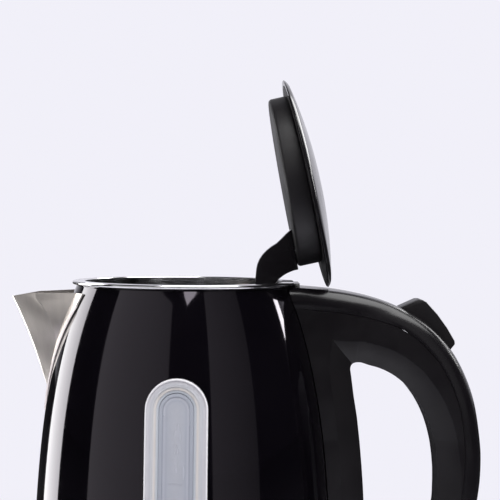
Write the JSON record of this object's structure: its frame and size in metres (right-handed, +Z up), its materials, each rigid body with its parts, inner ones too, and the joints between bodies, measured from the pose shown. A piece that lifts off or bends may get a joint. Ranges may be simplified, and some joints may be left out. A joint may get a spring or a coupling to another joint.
{
  "type": "electric kettle",
  "caption": "Cordless electric jug kettle on a power base, with a sprung flip-up lid, press-button release, water window, loop handle and rocker switch.",
  "frame": {"origin": "centre of the underside of the power base's bottom cover, on the jug's axis, 1 mm above the table the feet stand on", "axes": "+Z up along the jug's axis; +X from the spout to the handle; -Y towards the side with the water window"},
  "size_m": [0.2349, 0.1556, 0.3133],
  "materials": {
    "satin_black_plastic": "satin moulded",
    "matte_black_plastic": "fine grained",
    "gloss_black_plastic": "gloss moulded",
    "black_lacquered_steel": "high gloss lacquer",
    "brushed_steel": "brushed",
    "filter_steel": "fine perforated sheet",
    "frosted_window": "frosted plastic",
    "clear_window": "clear tinted plastic",
    "silicone": "soft matte",
    "float_plastic": "smooth",
    "foot_rubber": "matte",
    "zinc_steel": "bright zinc",
    "aluminium_pad": "plain sheet",
    "element_sheath": "oxidised",
    "control_plastic": "glass filled nylon",
    "bimetal": "plain disc",
    "lamp_lens": "tinted clear plastic"
  },
  "bodies": {
    "base": {"base_shell": "satin_black_plastic", "base_bottom_cover": "matte_black_plastic", "base_connector": "matte_black_plastic", "cord_gland": "matte_black_plastic", "base_foot_1": "foot_rubber", "base_foot_2": "foot_rubber", "base_foot_3": "foot_rubber", "base_foot_4": "foot_rubber", "base_screw_1": "zinc_steel", "base_screw_2": "zinc_steel", "base_screw_3": "zinc_steel"},
    "jug": {"handle_cover": "satin_black_plastic", "hinge_housing": "satin_black_plastic", "handle_shell": "matte_black_plastic", "jug_bottom_cover": "matte_black_plastic", "jug_skirt": "gloss_black_plastic", "jug_body": "black_lacquered_steel", "rim_ring": "brushed_steel", "spout": "brushed_steel", "heater_plate": "brushed_steel", "spout_filter": "filter_steel", "window_frame": "frosted_window", "window_pane": "clear_window", "gauge_channel": "clear_window", "window_seal": "silicone", "plate_seal": "silicone", "jug_screw_1": "zinc_steel", "jug_screw_2": "zinc_steel", "jug_screw_3": "zinc_steel", "handle_screw_1": "zinc_steel", "handle_screw_2": "zinc_steel", "hinge_pin": "zinc_steel", "lid_spring": "zinc_steel", "button_spring": "zinc_steel", "heat_diffuser": "aluminium_pad", "heating_element": "element_sheath", "thermostat_control": "control_plastic", "jug_connector": "control_plastic", "steam_tube": "control_plastic", "steam_switch": "bimetal"},
    "lid": {"lid_dome": "gloss_black_plastic", "lid_liner": "satin_black_plastic", "lid_arm": "satin_black_plastic", "lid_screw_1": "zinc_steel", "lid_screw_2": "zinc_steel"},
    "button": {"release_button": "satin_black_plastic"},
    "latch": {"latch_slider": "control_plastic"},
    "lever": {"switch_lever": "gloss_black_plastic", "switch_lens": "lamp_lens"},
    "float": {"level_float": "float_plastic"}
  },
  "joints": [
    {"name": "jug_lift", "type": "slide", "parent": "base", "child": "jug", "axis": [0, 0, 1], "range_m": [0, 0.06]},
    {"name": "lid_hinge", "type": "hinge", "parent": "jug", "child": "lid", "pos_m": [0.06, 0, 0.2], "axis": [0, 1, 0], "range_deg": [-77.2, 0], "stiffness_Nm_per_rad": 0.03, "springref_deg": 45.84, "deforming": ["lid_spring"]},
    {"name": "button_press", "type": "slide", "parent": "jug", "child": "button", "axis": [-0.632, 0, -0.7749], "range_m": [0, 0.003], "stiffness_N_per_m": 150, "springref_m": -0.002, "deforming": ["button_spring"]},
    {"name": "latch_slide", "type": "slide", "parent": "jug", "child": "latch", "axis": [1, 0, 0], "range_m": [0, 0.002]},
    {"name": "switch_rocker", "type": "hinge", "parent": "jug", "child": "lever", "pos_m": [0.0885, 0, 0.033], "axis": [0, 1, 0], "range_deg": [0, 12]},
    {"name": "float_rise", "type": "slide", "parent": "jug", "child": "float", "axis": [0, 0.0755, 0.9971], "range_m": [-0.03, 0.035]}
  ],
  "couplings": [
    {"joint": "latch_slide", "follows": "button_press", "ratio": 0.66666}
  ]
}
